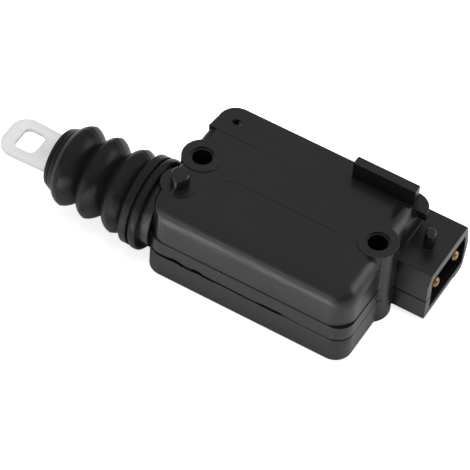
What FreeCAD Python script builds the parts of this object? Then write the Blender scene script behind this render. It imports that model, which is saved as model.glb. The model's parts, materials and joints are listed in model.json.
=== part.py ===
import FreeCAD, Part
import math
import os

# Electric actuator for a door latch, in millimetres. The origin is midway between the two
# screw holes on the base face. +X runs to the plug socket, +Y to the flange, +Z up.

V = FreeCAD.Vector
os.makedirs("parts", exist_ok=True)

# Shared by all pieces: how deep joined shapes run into each other, how far a cut runs past
# the face it opens, the play of running parts, the play of seated parts, the least rounding
seat = 0.5
over = 1.0
running_gap = 0.2
bore_fit = 0.01
least_r = 0.6
tiny = 0.01

# Case
case_length = 75.0
case_width = 52.9
case_height = 33.0
case_shift_x = -0.2
case_shift_y = -0.35
wall = 2.5
parting_z = 10.9
skirt_height = 6.1
skirt_step = 0.2
corner_r = 6.0
edge_r = 7.4
left_edge_r = 3.0
base_chamfer = 0.6
lip_thickness = 1.0
lip_height = 1.2
lip_clearance = 0.15
lip_root = 0.5
rebate_r = 0.8

# Flange, ear and hanging rib along the far edge
step_width = 7.7
step_drop = 1.3
step_edge_r = 0.5
notch_length = 11.7
notch_depth = 13.3
flange_thickness = 3.5
flange_corner_r = 6.4
flange_overhang = 2.5
flange_end_width = 6.8
flange_end_r = 0.25
ear_root = 2.0
slope_run = 12.7
ear_hole_r = 1.65
ear_hole_inset = 6.7
rib_length = 22.9
rib_end_inset = 2.5
rib_thickness = 3.3
rib_height = 7.3
rib_inset = 3.0
rib_corner_r = 0.5

# Screw bosses, pad and pegs
screw_inset = 4.9
screw_r = 3.3
boss_r = 6.9
boss_rise = 0.4
boss_recess_r = 3.85
boss_recess_depth = 0.8
pad_inset = 4.8
pad_r = 6.4
pad_rise = 0.15
pad_depth = 8.0
peg_r = 3.2
peg_height = 4.75
peg_chamfer = 0.7

# Plug socket
socket_length = 13.4
socket_near = 3.0
socket_width = 27.2
socket_bulge = 2.0
socket_base = 1.8
socket_top = 22.0
socket_chamfer_y = 2.3
socket_chamfer_z = 3.5
socket_wall_near = 3.6
socket_wall_far = 1.2
socket_wall_top = 3.9
socket_wall_base = 2.4
socket_depth = 10.4
socket_edge_r = 0.5
socket_base_r = 0.8
socket_lean = 0.3
socket_far_top_r = 1.2
socket_far_base_r = 2.0
socket_bulge_r = 9.0
cavity_corner_r = 1.0
cavity_bulge = 0.8
cavity_bulge_r = 6.0
socket_key_width = 6.0
socket_key_height = 0.6
socket_peg_r = 2.0
socket_peg_height = 7.3
socket_peg_x = 6.4
socket_peg_y = 12.9
pin_r = 1.95
pin_first_y = 9.2
pin_spacing = 13.2
pin_recess = 0.4
pin_root = 1.4
bridge_thickness = 1.2
pin_fit = 0.05
pin_chamfer = 0.8
blade_thickness = 0.8
blade_width = 4.4
blade_gap = 0.4

# Rod, nose and travel
rod_inset = 13.3
shank_r = 6.0
rod_fit = 0.08
rod_clearance = 0.3
nose_r = 13.4
nose_length = 7.8
nose_bead = 0.5
nose_bead_width = 1.4
bead_inset = 1.0
relief_floor = 1.0
guide_wall = 2.0
guide_flange = 1.0
guide_seat = 0.5
head_r = 8.0
head_length = 12.0
keel_width = 3.0
keel_height = 4.0
rail_thickness = 1.2
rail_gap = 1.0
tongue_length = 24.8
tongue_width = 18.7
tongue_taper = 0.7
tongue_thickness = 1.8
tongue_corner_r = 6.0
tongue_shoulder = 1.5
eye_length = 7.7
eye_width = 9.2
eye_corner_r = 2.2
eye_end_wall = 5.0
rod_collar_r = 8.6
rod_collar_thickness = 2.0

# Bellows boot
boot_reach = 36.3
boot_wall = 1.2
boot_gap = 0.05
boot_lip = 0.6
cuff_wall = 2.7
cuff_rings = 2
cuff_ring_width = 3.2
cuff_groove = 0.8
cuff_start_gap = 2.2
crest_first_r = 14.9
crest_last_r = 14.3
valley_r = 10.9
crest_count = 3
crest_steep = 0.16
crest_slack = 0.18
crest_fall = 0.5
valley_share = 0.42
boot_end_r = 10.3
boot_end_width = 3.5
boot_neck_r = 9.6
boot_end_wall = 2.0

# Drive
screw_r_outer = 3.6
screw_fit = 0.12
screw_relief = 0.6
screw_spare = 2.0
bore_spare = 4.0
pressure_angle = 25.0
backlash = 0.16
dedendum = 1.25
pinion_teeth = 12
wheel_teeth = 22
small_teeth = 12
spindle_teeth = 20
wheel_width = 3.4
hub_r = 3.0
wheel_rim = 2.6
web_recess = 1.0
spindle_gear_rim = 2.4
web_hub = 1.2
pinion_margin = 0.3
spindle_gear_width = 3.4
gear_side_gap = 0.5
support_thickness = 3.0
support_reach = 10.7
axle_tab_thickness = 1.3
axle_tab_reach = 4.0
buffer_thickness = 2.0
buffer_gap = 0.1
front_support_inset = 12.7
rear_support_inset = 13.1
front_support_thickness = 2.4
journal_front_r = 3.4
journal_rear_r = 2.0
neck_r = 2.5
collar_r = 4.6
collar_thickness = 0.95
collar_gap = 0.15
bush_wall = 2.1
bush_fit = 0.04
washer_thickness = 0.6
washer_gap = 0.1
axle_r = 1.25

# Motor
motor_width = 18.3
motor_height = 24.2
motor_far_gap = 1.55
motor_back_gap = 6.6
motor_wall = 0.9
motor_fit = 0.05
motor_boss_r = 3.0
motor_boss_height = 0.7
motor_bush_length = 1.6
motor_bush_setback = 0.6
motor_shaft_r = 1.0
saddle_reach = 8.5
saddle_inset = 7.0
saddle_thickness = 2.0
saddle_side = 1.5
armature_r = 7.6
armature_room = 17.5
armature_slots = 5
armature_gap = 3.6
winding_overhang = 2.2
winding_bore_gap = 0.8
pocket_half = 1.4
slot_fit = 0.1
pocket_y = 3.0
pocket_reach = 6.2
mouth_half = 0.5
magnet_gap = 0.4
magnet_fit = 0.05
magnet_thickness = 2.8
magnet_angle = 104.0
magnet_overhang = 2.5
commutator_r = 2.6
commutator_length = 4.0
commutator_gap = 0.8
slit_width = 0.4
slit_depth = 0.6
brush_length = 2.4
brush_width = 2.0
brush_setback = 0.6
brush_fit = 0.05
brush_foot = 1.5
brush_rim_gap = 0.3
end_cap_length = 3.0
end_cap_rim = 1.6
end_cap_floor = 1.2
end_cap_hub = 1.0
strip_thickness = 0.6
strip_width = 4.0
strip_gap = 0.3
strip_rise = 4.0
tab_thickness = 1.15
tab_gap = 0.05
tab_offset = 4.0
disc_gap = 0.5
disc_r = 5.0
disc_thickness = 1.6

# Places worked out from the sizes above
case_left = case_shift_x - case_length / 2
case_right = case_shift_x + case_length / 2
case_front = case_shift_y - case_width / 2
case_far = case_shift_y + case_width / 2
skirt_z = parting_z + skirt_height
step_y = case_far - step_width
flange_z = case_height - step_drop
notch_x = case_left + notch_length
notch_y = case_far - notch_depth
inner_left = case_left + wall
inner_far = case_far - wall
inner_top = case_height - wall
screw_spacing = case_length - 2 * screw_inset
pad_x = case_left + pad_inset
rib_start = case_right - rib_end_inset - rib_length
socket_end = case_right + socket_length
socket_far = socket_near + socket_width
pin_near_y = socket_near + pin_first_y
pin_far_y = pin_near_y + pin_spacing
nose_end = case_left - nose_length
rod_y = case_front + rod_inset
rod_z = case_height / 2
tongue_root_x = case_left - boot_reach
tongue_tip_x = tongue_root_x - tongue_length
guide_r = shank_r + guide_wall
collar_end_x = tongue_root_x - seat
boot_end_x = collar_end_x - rod_collar_thickness - boot_end_wall
boot_ring_x = boot_end_x + boot_end_width
cuff_r = nose_r + cuff_wall
cuff_x = case_left - cuff_start_gap
cuff_end_x = cuff_x - cuff_rings * cuff_ring_width

motor_y = inner_far - motor_far_gap - motor_width / 2
teeth_sum = pinion_teeth + wheel_teeth + small_teeth + spindle_teeth
gear_module = 2 * (motor_y - rod_y) / teeth_sum
axle_y = rod_y + gear_module * (small_teeth + spindle_teeth) / 2

front_support_x = case_left + front_support_inset
buffer_out_x = front_support_x + front_support_thickness
head_left = buffer_out_x + buffer_thickness + buffer_gap
head_right = head_left + head_length
rear_support_x = case_right - rear_support_inset
washer_x = rear_support_x - washer_gap - washer_thickness
spindle_gear_end = washer_x - running_gap
spindle_gear_x = spindle_gear_end - spindle_gear_width
wheel_x = spindle_gear_x - gear_side_gap - wheel_width
collar_x = wheel_x - pinion_margin - collar_thickness
support_end = collar_x - collar_gap
support_x = support_end - support_thickness
buffer_in_x = support_x - buffer_thickness
stroke = buffer_in_x - buffer_gap - head_right
motor_front = support_end
motor_back = notch_x + wall + motor_back_gap
armature_length = motor_front - motor_back - armature_room
magnet_length = armature_length + 2 * magnet_overhang


def box(x0, x1, y0, y1, z0, z1):
    return Part.makeBox(x1 - x0, y1 - y0, z1 - z0, V(x0, y0, z0))


def rod_x(radius, x0, x1, y, z):
    """Cylinder along X."""
    return Part.makeCylinder(radius, x1 - x0, V(x0, y, z), V(1, 0, 0))


def rod_up(radius, z0, z1, x, y):
    """Cylinder along Z."""
    return Part.makeCylinder(radius, z1 - z0, V(x, y, z0), V(0, 0, 1))


def tube_x(outer, inner, x0, x1, y, z):
    return rod_x(outer, x0, x1, y, z).cut(rod_x(inner, x0 - over, x1 + over, y, z))


def merge(shapes):
    """Fuse shapes into one solid."""
    return shapes[0].multiFuse(shapes[1:]).removeSplitter()


def plan_point(a, b, level):
    return V(a, b, level)


def end_point(a, b, level):
    """A point of a section across X: a is Y, b is Z."""
    return V(level, a, b)


def side_point(a, b, level):
    """A point of a section across Y: a is X, b is Z."""
    return V(a, level, b)


def rounded_wire(corners, level, place):
    """Closed outline through corners (a, b, radius), with an arc wherever a radius is given."""
    stations = []
    count = len(corners)
    for i, (a, b, radius) in enumerate(corners):
        here = V(a, b, 0)
        before = V(corners[i - 1][0], corners[i - 1][1], 0)
        after = V(corners[(i + 1) % count][0], corners[(i + 1) % count][1], 0)
        if radius <= 0:
            stations.append((here, None, here))
            continue
        back = (before - here).normalize()
        ahead = (after - here).normalize()
        half = back.getAngle(ahead) / 2
        middle = (back + ahead).normalize()
        centre = here + middle * (radius / math.sin(half))
        reach = radius / math.tan(half)
        stations.append((here + back * reach, centre - middle * radius, here + ahead * reach))
    edges = []
    for i, (start, top, end) in enumerate(stations):
        if top is not None:
            points = [place(p.x, p.y, level) for p in (start, top, end)]
            edges.append(Part.Arc(*points).toShape())
        following = stations[(i + 1) % count][0]
        if (following - end).Length > 1e-6:
            ends = [place(p.x, p.y, level) for p in (end, following)]
            edges.append(Part.LineSegment(*ends).toShape())
    return Part.Wire(edges)


def prism(corners, low, high, place=plan_point):
    """Rounded outline drawn at one level and extruded to another."""
    face = Part.Face(rounded_wire(corners, low, place))
    return face.extrude(place(0, 0, high) - place(0, 0, low))


def edges_where(shape, test):
    return [edge for edge in shape.Edges if test(edge.BoundBox)]


def case_outline(inset, radius):
    """Plan of the case, drawn in by an inset, with the corner under the ear left out."""
    left = case_left + inset
    right = case_right - inset
    front = case_front + inset
    far = case_far - inset
    small = max(radius / 2, least_r)
    return [(left, front, radius), (right, front, radius), (right, far, small),
            (notch_x + inset, far, small), (notch_x + inset, notch_y - inset, rebate_r),
            (left, notch_y - inset, small)]


def case_prism(inset, low, high):
    return prism(case_outline(inset, max(corner_r - inset, least_r)), low, high)


def domed_case(inset, low, high):
    """Case block whose front and right top edges are well rounded and whose left edge is less so."""
    left = case_left + inset
    right = case_right - inset
    front = case_front + inset
    beyond = case_far + edge_r
    big = max(edge_r - inset, least_r)
    small = max(left_edge_r - inset, least_r)
    right_block = prism([(left - edge_r, front, 0), (right, front, big), (right, beyond, 0),
                         (left - edge_r, beyond, 0)], low, high)
    left_block = prism([(left, front, big), (right + edge_r, front, 0), (right + edge_r, beyond, 0),
                        (left, beyond, 0)], low, high)

    def top_right(b):
        return b.ZMin > high - tiny and (b.YMax < front + big + tiny or b.XMin > right - big - tiny)

    def top_left(b):
        return b.ZMin > high - tiny and (b.YMax < front + big + tiny or b.XMax < left + big + tiny)

    right_block = right_block.makeFillet(big, edges_where(right_block, top_right))
    left_block = left_block.makeFillet(small, edges_where(left_block, top_left))
    return case_prism(inset, low, high).common(right_block).common(left_block)


def screw_places():
    return [(-screw_spacing / 2, 0.0), (screw_spacing / 2, 0.0)]


def socket_outline():
    return [(socket_near, socket_base, socket_base_r),
            (socket_near, socket_top - socket_chamfer_z, socket_edge_r),
            (socket_near + socket_chamfer_y, socket_top, socket_edge_r),
            (socket_far - socket_lean, socket_top, socket_far_top_r),
            (socket_far + socket_bulge, (socket_base + socket_top) / 2, socket_bulge_r),
            (socket_far, socket_base, socket_far_base_r)]


def socket_cavity():
    near = socket_near + socket_wall_near
    far = socket_far - socket_wall_far
    low = socket_base + socket_wall_base
    high = socket_top - socket_wall_top
    corner = cavity_corner_r
    outline = [(near, low, corner), (near, high, corner), (far, high, corner),
               (far + cavity_bulge, (low + high) / 2, cavity_bulge_r), (far, low, corner)]
    return prism(outline, socket_end - socket_depth, socket_end + over, end_point)


def pin_shape(centre_y, inner_y, grow):
    """Round plug pin with a flat blade that runs in through the wall, enlarged by grow."""
    radius = pin_r + grow
    tip = socket_end - pin_recess
    root = socket_end - socket_depth - pin_root - grow
    pin = rod_x(radius, root, tip, centre_y, parting_z)
    if grow == 0:
        end = edges_where(pin, lambda b: b.XMin > tip - tiny)
        pin = pin.makeChamfer(pin_chamfer, end)
    half = blade_width / 2 + grow
    low = min(centre_y, inner_y) - half
    high = max(centre_y, inner_y) + half
    half_thick = blade_thickness / 2 + grow
    bridge = box(root, root + bridge_thickness + grow, low, high,
                 parting_z - half_thick, parting_z + half_thick)
    blade = box(blade_end(), root + over, inner_y - half, inner_y + half,
                parting_z - half_thick, parting_z + half_thick)
    return merge([pin, bridge, blade])


def pin_inner_y():
    """Where each blade passes the wall: the far one is drawn in to clear the far wall."""
    return [pin_near_y, min(pin_far_y, inner_far - blade_width / 2 - over)]


def pin_pockets():
    near_in, far_in = pin_inner_y()
    return [pin_shape(pin_near_y, near_in, pin_fit), pin_shape(pin_far_y, far_in, pin_fit)]


def nose():
    """Spigot for the boot cuff, with a bead at its end and a relief ring moulded in."""
    body = rod_x(nose_r, nose_end, case_left + wall / 2, rod_y, rod_z)
    bead_x = nose_end + bead_inset
    bead = rod_x(nose_r + nose_bead, bead_x, bead_x + nose_bead_width, rod_y, rod_z)
    relief = tube_x(nose_r - wall, guide_r + wall, nose_end - over, case_left - relief_floor, rod_y, rod_z)
    return merge([body, bead]).cut(relief)


def rod_passage():
    """Bore for the guide bush in the nose and the rod's way through the wall behind it."""
    pocket = rod_x(guide_r + bore_fit, nose_end - over, guide_end() + bore_fit, rod_y, rod_z)
    way = rod_x(shank_r + rod_clearance, nose_end - over, front_support_x, rod_y, rod_z)
    return merge([pocket, way])


def supports(low, high):
    """Cross walls that carry the rod, the spindle, the gear axle and the motor, between two heights."""
    near = rod_y - support_reach
    far = rod_y + support_reach - hub_r - axle_tab_reach
    tab_far = axle_y + axle_tab_reach
    walls = [
        box(front_support_x, buffer_out_x, near, rod_y + support_reach, low, high),
        box(support_x, support_end, near, tab_far, low, high),
        box(rear_support_x, rear_support_x + support_thickness, near, far, low, high),
        box(rear_support_x, rear_support_x + axle_tab_thickness, far - over, tab_far, low, high),
    ]
    return walls


def guide_end():
    """Inner end of the rod's guide bush, let into the wall."""
    return case_left + guide_seat


def axle_start():
    """Left end of the fixed axle, let into the cross wall."""
    return support_x + seat


def axle_end():
    """Right end of the fixed axle, let into its tab."""
    return rear_support_x + axle_tab_thickness - running_gap


def support_holes():
    end = rear_support_x + support_thickness
    return [
        rod_x(shank_r + rod_clearance, front_support_x - over, buffer_out_x + over, rod_y, rod_z),
        rod_x(journal_front_r + bush_wall + bore_fit, support_x - over, support_end + over, rod_y, rod_z),
        rod_x(journal_rear_r + bush_wall + bore_fit, rear_support_x - over, end + over, rod_y, rod_z),
        rod_x(axle_r + bore_fit, axle_start() - bore_fit, axle_end() + bore_fit, axle_y, rod_z),
    ]


def motor_body(grow, x0, x1):
    """Flat-sided round of the motor can along X."""
    round_part = rod_x(motor_height / 2 + grow, x0, x1, motor_y, rod_z)
    half = motor_width / 2 + grow
    slab = box(x0 - over, x1 + over, motor_y - half, motor_y + half, 0, case_height)
    return round_part.common(slab)


def motor_room():
    return motor_body(motor_fit, motor_back - over, motor_front)


def motor_saddles(low, high):
    """Cross ribs that hold the motor can from below or above."""
    half = motor_width / 2 - saddle_side
    ribs = []
    for x in (motor_back + saddle_inset, motor_front - saddle_inset):
        ribs.append(box(x, x + saddle_thickness, motor_y - half, motor_y + half, low, high))
    return ribs


def keel_rails(low, high):
    """Pair of rails either side of the rod's keel."""
    rails = []
    gap = keel_width / 2 + rod_clearance
    for side in (-1, 1):
        near = rod_y + min(side * gap, side * (gap + rail_thickness))
        rails.append(box(buffer_out_x - seat, support_x + seat, near, near + rail_thickness, low, high))
    return rails


def lower_housing():
    outer = case_prism(0, 0, parting_z)
    outer = outer.makeChamfer(base_chamfer, edges_where(outer, lambda b: b.ZMax < tiny))
    socket = prism(socket_outline(), case_right - wall / 2, socket_end, end_point)
    key = box(case_right + over, socket_end, socket_far - socket_key_width, socket_far - seat,
              socket_base - socket_key_height, socket_base + over)
    lower = ends_between(-over, parting_z)
    shell = merge([outer, nose().common(lower), socket.common(lower), key])
    shell = shell.cut(case_prism(wall, wall, parting_z + over))
    columns = [rod_up(boss_r, 0, parting_z, x, y) for x, y in screw_places()]
    floor = wall - seat
    pieces = [shell] + columns + supports(floor, rod_z) + motor_saddles(floor, rod_z - saddle_reach)
    pieces += keel_rails(floor, rod_z - head_r - rail_gap)
    shell = merge(pieces + [weld_lip()])
    cuts = support_holes() + [rod_passage(), socket_cavity(), motor_room()]
    cuts += pin_pockets()
    cuts += [rod_up(screw_r, -over, case_height, x, y) for x, y in screw_places()]
    return shell.cut(cuts)


def ends_between(low, high):
    """Block as wide as the nose and the socket together, between two heights."""
    near = rod_y - 2 * nose_r
    far = socket_far + socket_bulge + over
    return box(nose_end - over, socket_end + over, near, far, low, high)


def weld_lip():
    """Lip inside the wall that locates the cover, left out at the columns, nose and socket."""
    inset = wall - lip_thickness
    lip = case_prism(inset, parting_z - lip_root, parting_z + lip_height)
    lip = lip.cut(case_prism(wall, parting_z - over, parting_z + lip_height + over))
    ways = [rod_up(boss_r + lip_clearance, 0, case_height, x, y) for x, y in screw_places()]
    near = socket_near - wall - lip_clearance
    inner = case_right - wall - over
    ways.append(box(case_left - over, inner_left + over, case_front - over, boss_r + over, 0, case_height))
    ways.append(box(inner, case_right + over, near, case_far + over, 0, case_height))
    return lip.cut(ways)


def ear():
    """Flange plate over the notch, drawn up to the height of the top face."""
    near = notch_y - skirt_step
    root = notch_x + ear_root
    outline = [(case_left, near, 0), (root, near, 0), (root, case_far, 0),
               (case_left, case_far, flange_corner_r)]
    return prism(outline, flange_z - flange_thickness, case_height)


def flange():
    """Plate along the far edge, with a rounded end that stands past the right wall."""
    end = case_right + flange_overhang
    near = case_far - flange_end_width
    inner = case_right - wall
    round_r = min(flange_corner_r, flange_end_width - 2 * flange_end_r)
    outline = [(notch_x + over, step_y + over, 0), (inner, step_y + over, 0), (inner, near, 0),
               (end, near, flange_end_r), (end, case_far, round_r), (notch_x + over, case_far, 0)]
    return prism(outline, flange_z - flange_thickness, flange_z)


def top_cuts():
    """What lies above the flange, and the slope that fades the step out towards the ear."""
    x0 = case_left - over
    x1 = case_right + flange_overhang + over
    above = box(x0, x1, step_y, case_far + over, flange_z, case_height + over)
    round_y = step_y - step_edge_r
    round_z = case_height - step_edge_r
    edge = box(x0, x1, round_y, step_y + over, round_z, case_height + over)
    edge = edge.cut(rod_x(step_edge_r, x0 - over, x1 + over, round_y, round_z))
    slope_start = V(case_left - over, notch_y, case_height)
    corners = [slope_start, V(case_left + slope_run, step_y, case_height),
               V(case_left - over, step_y + over, flange_z)]
    tilt = (corners[1] - corners[0]).cross(corners[2] - corners[0]).normalize()
    if tilt.z < 0:
        tilt = tilt * -1
    base = Part.Face(Part.makePolygon(corners + [corners[0]]))
    return [above, edge, base.extrude(tilt * 2 * step_drop)]


def upper_housing():
    dome = domed_case(skirt_step, skirt_z - over, case_height)
    skirt = case_prism(0, parting_z, skirt_z)
    upper = ends_between(parting_z, case_height)
    socket = prism(socket_outline(), case_right - wall / 2, socket_end, end_point).common(upper)
    shell = merge([dome, skirt, ear()])
    shell = shell.cut(top_cuts())
    pad = rod_up(pad_r, case_height - pad_depth, case_height + pad_rise, pad_x, rod_y)
    shell = merge([shell, flange(), nose().common(upper), socket, pad])
    cavity = domed_case(wall, parting_z - over, inner_top)
    low_ceiling = box(case_left, case_right, step_y - wall, case_far, flange_z - wall, case_height)
    shell = shell.cut(cavity.cut(low_ceiling))
    columns = [rod_up(boss_r, parting_z, case_height + boss_rise, x, y) for x, y in screw_places()]
    ceiling = inner_top + seat
    inner = supports(rod_z, ceiling) + keel_rails(rod_z + head_r + rail_gap, ceiling)
    inner += motor_saddles(rod_z + saddle_reach, ceiling)
    shell = merge([shell] + columns + inner)
    shell = merge([shell, hanging_rib(), locating_peg(), socket_peg()])
    rebate = case_prism(wall - lip_thickness - lip_clearance, parting_z - over,
                        parting_z + lip_height + lip_clearance)
    keep = [rod_up(boss_r, 0, case_height, x, y) for x, y in screw_places()]
    keep.append(box(case_left - over, inner_left, case_front - over, boss_r, 0, case_height))
    near = socket_near - wall
    keep.append(box(case_right - wall, case_right + over, near, case_far + over, 0, case_height))
    cuts = support_holes() + [rod_passage(), socket_cavity(), motor_room()]
    cuts += pin_pockets() + [rebate.cut(keep)]
    cuts += [rod_up(screw_r, 0, case_height + boss_rise + over, x, y) for x, y in screw_places()]
    recess_z = case_height + boss_rise - boss_recess_depth
    cuts += [rod_up(boss_recess_r, recess_z, case_height + boss_rise + over, x, y) for x, y in screw_places()]
    ear_x = case_left + ear_hole_inset
    ear_y = case_far - ear_hole_inset
    cuts.append(rod_up(ear_hole_r, 0, case_height + over, ear_x, ear_y))
    return shell.cut(cuts)


def hanging_rib():
    near = case_far - rib_inset - rib_thickness
    end = rib_start + rib_length
    top = flange_z + rib_height
    outline = [(rib_start, flange_z - seat, 0), (end, flange_z - seat, 0), (end, top, rib_corner_r),
               (rib_start, top, rib_corner_r)]
    return prism(outline, near, near + rib_thickness, side_point)


def chamfered_peg(radius, x, y, z0, z1):
    peg = rod_up(radius, z0, z1, x, y)
    return peg.makeChamfer(peg_chamfer, edges_where(peg, lambda b: b.ZMin > z1 - tiny))


def locating_peg():
    top = case_height + pad_rise
    return chamfered_peg(peg_r, pad_x, rod_y, top - over, top + peg_height)


def socket_peg():
    x = case_right + socket_peg_x
    y = socket_near + socket_peg_y
    return chamfered_peg(socket_peg_r, x, y, socket_top - over, socket_top + socket_peg_height)


def crest_places():
    """Place and radius of each crest of the boot, from the case outwards."""
    start = cuff_end_x
    pitch = (start - boot_ring_x) / crest_count
    places = []
    for i in range(crest_count):
        share = i / max(crest_count - 1, 1)
        places.append((start - pitch * (i + 0.5), crest_first_r + (crest_last_r - crest_first_r) * share))
    return pitch, places


def boot_outside():
    """Outer profile from the cuff to the end ring: rings with a groove between, then the crests."""
    profile = []
    for ring in range(cuff_rings):
        start = cuff_x - ring * cuff_ring_width
        profile += [(start, cuff_r), (start - cuff_ring_width + cuff_groove, cuff_r),
                    (start - cuff_ring_width, cuff_r - cuff_groove)]
    pitch, places = crest_places()
    profile.append((cuff_end_x, valley_r + cuff_groove))
    for x, radius in places:
        profile += [(x + pitch * crest_steep, radius), (x - pitch * crest_slack, radius - crest_fall),
                    (x - pitch / 2, valley_r)]
    profile[-1] = (boot_ring_x, boot_neck_r)
    profile += [(boot_ring_x, boot_end_r), (boot_end_x, boot_end_r), (boot_end_x, 0), (cuff_x, 0)]
    return revolve_x(profile)


def boot_inside():
    """Hollow of the boot: over the nose, then one wall thickness inside the crests and valleys."""
    over_nose = nose_r + boot_gap
    profile = [(cuff_x + over, 0), (cuff_x + over, over_nose), (nose_end - boot_gap, over_nose)]
    pitch, places = crest_places()
    for x, radius in places:
        profile += [(x + pitch * valley_share, valley_r - boot_wall), (x, radius - boot_wall)]
    lip = collar_end_x + boot_lip
    profile += [(lip, boot_neck_r - boot_lip), (lip, 0)]
    return revolve_x(profile)


def boot():
    """Rubber bellows: cuff with two rings, rounded crests and an end ring round the tongue."""
    bead_x = nose_end + bead_inset
    bead_room = rod_x(nose_r + nose_bead + boot_gap, bead_x - boot_gap, bead_x + nose_bead_width + boot_gap,
                      rod_y, rod_z)
    collar_room = rod_x(rod_collar_r + boot_gap, collar_end_x - rod_collar_thickness - boot_gap,
                        collar_end_x + boot_gap, rod_y, rod_z)
    shank_room = rod_x(shank_r + boot_gap, collar_end_x - rod_collar_thickness,
                       collar_end_x + rod_collar_thickness, rod_y, rod_z)
    slot_half = tongue_width / 2 + boot_gap
    thick_half = tongue_thickness / 2 + boot_gap
    slot = box(boot_end_x - over, collar_end_x + rod_collar_thickness, rod_y - slot_half, rod_y + slot_half,
               rod_z - thick_half, rod_z + thick_half)
    return boot_outside().cut([boot_inside(), bead_room, collar_room, shank_room, slot])


def revolve_x(corners):
    """Solid of revolution about the rod's axis from corners (x, radius)."""
    points = [V(x, rod_y + radius, rod_z) for x, radius in corners]
    wire = Part.makePolygon(points + [points[0]])
    return Part.Face(wire).revolve(V(0, rod_y, rod_z), V(1, 0, 0), 360)


def output_rod():
    shank = rod_x(shank_r, collar_end_x, head_left + over, rod_y, rod_z)
    head = rod_x(head_r, head_left, head_right, rod_y, rod_z)
    collar = rod_x(rod_collar_r, collar_end_x - rod_collar_thickness, collar_end_x, rod_y, rod_z)
    half = keel_width / 2
    reach = head_r + keel_height
    keel = box(head_left, head_right, rod_y - half, rod_y + half, rod_z - reach, rod_z + reach)
    spread = tongue_width / 2
    narrow = spread - tongue_taper
    low = rod_z - tongue_thickness / 2
    root = tongue_root_x - over
    outline = [(tongue_tip_x, rod_y - narrow, tongue_corner_r), (root, rod_y - spread + tongue_shoulder, 0),
               (root, rod_y + spread - tongue_shoulder, 0), (tongue_tip_x, rod_y + narrow, tongue_corner_r)]
    tongue = prism(outline, low, low + tongue_thickness)
    solid = merge([shank, head, collar, keel, tongue])
    bore_end = head_left - stroke - bore_spare
    bore = rod_x(screw_r_outer + screw_relief, bore_end, head_left, rod_y, rod_z)
    nut_bore = rod_x(screw_r_outer + screw_fit, head_left - over, head_right + over, rod_y, rod_z)
    eye_x = tongue_tip_x + eye_end_wall
    eye_half = eye_width / 2
    outline = [(eye_x, rod_y - eye_half, eye_corner_r), (eye_x + eye_length, rod_y - eye_half, eye_corner_r),
               (eye_x + eye_length, rod_y + eye_half, eye_corner_r), (eye_x, rod_y + eye_half, eye_corner_r)]
    eye = prism(outline, low - over, low + tongue_thickness + over)
    return solid.cut([bore, nut_bore, eye])


def drive_spindle():
    start = head_left - screw_spare
    thread_end = buffer_in_x - buffer_gap
    core = rod_x(screw_r_outer, start, thread_end, rod_y, rod_z)
    journal = rod_x(journal_front_r, thread_end, collar_x, rod_y, rod_z)
    collar = rod_x(collar_r, collar_x, collar_x + collar_thickness, rod_y, rod_z)
    neck = rod_x(neck_r, collar_x + collar_thickness, spindle_gear_end, rod_y, rod_z)
    rear = rod_x(journal_rear_r, spindle_gear_end, rear_support_x + support_thickness, rod_y, rod_z)
    return merge([core, journal, collar, neck, rear])


def polar(radius, angle):
    return V(0, radius * math.cos(angle), radius * math.sin(angle))


def gear_face(teeth, first_tooth):
    """Outline of a spur gear across X, its involute flanks drawn as chords between three of their points."""
    pitch_r = gear_module * teeth / 2
    pressure = math.radians(pressure_angle)
    base_r = pitch_r * math.cos(pressure)
    tip_r = pitch_r + gear_module
    root_r = pitch_r - dedendum * gear_module
    half_tooth = math.pi / (2 * teeth) - backlash / (4 * pitch_r)
    pitch_inv = math.tan(pressure) - pressure

    def flank(radius):
        slant = math.acos(min(1.0, base_r / radius))
        return half_tooth + pitch_inv - (math.tan(slant) - slant)

    low_r = max(base_r, root_r)
    points = []
    for i in range(teeth):
        centre = first_tooth + 2 * math.pi * i / teeth
        points.append(polar(root_r, centre - flank(low_r)))
        points += [polar(r, centre - flank(r)) for r in (pitch_r, tip_r)]
        points += [polar(r, centre + flank(r)) for r in (tip_r, pitch_r)]
        points.append(polar(root_r, centre + flank(low_r)))
    return Part.Face(Part.makePolygon(points + [points[0]]))


def spur_gear(teeth, first_tooth, x0, width, y, bore_r):
    gear = gear_face(teeth, first_tooth).extrude(V(width, 0, 0))
    gear.translate(V(x0, y, rod_z))
    return gear.cut(rod_x(bore_r, x0 - over, x0 + width + over, y, rod_z))


def motor_pinion():
    return spur_gear(pinion_teeth, math.pi, wheel_x - pinion_margin, wheel_width + 2 * pinion_margin,
                     motor_y, motor_shaft_r)


def reduction_gear():
    """Wheel and small gear in one, on a fixed axle."""
    bore = axle_r + bush_fit
    wheel = spur_gear(wheel_teeth, math.pi / wheel_teeth, wheel_x, wheel_width, axle_y, bore)
    web_r = gear_module * (wheel_teeth / 2 - wheel_rim)
    recess = tube_x(web_r, hub_r + web_hub, wheel_x - over, wheel_x + web_recess, axle_y, rod_z)
    small_width = gear_side_gap + spindle_gear_width + running_gap
    small = spur_gear(small_teeth, math.pi, wheel_x + wheel_width, small_width, axle_y, bore)
    hub = tube_x(hub_r, bore, support_end + running_gap, wheel_x, axle_y, rod_z)
    rear_hub = tube_x(hub_r, bore, washer_x, rear_support_x - running_gap, axle_y, rod_z)
    return merge([wheel.cut(recess), small, hub, rear_hub])


def spindle_gear():
    gear = spur_gear(spindle_teeth, math.pi / spindle_teeth, spindle_gear_x, spindle_gear_width,
                     rod_y, neck_r)
    web_r = gear_module * (spindle_teeth / 2 - spindle_gear_rim)
    recess = tube_x(web_r, neck_r + web_hub, spindle_gear_x - over, spindle_gear_x + web_recess, rod_y, rod_z)
    return gear.cut(recess)


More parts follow.
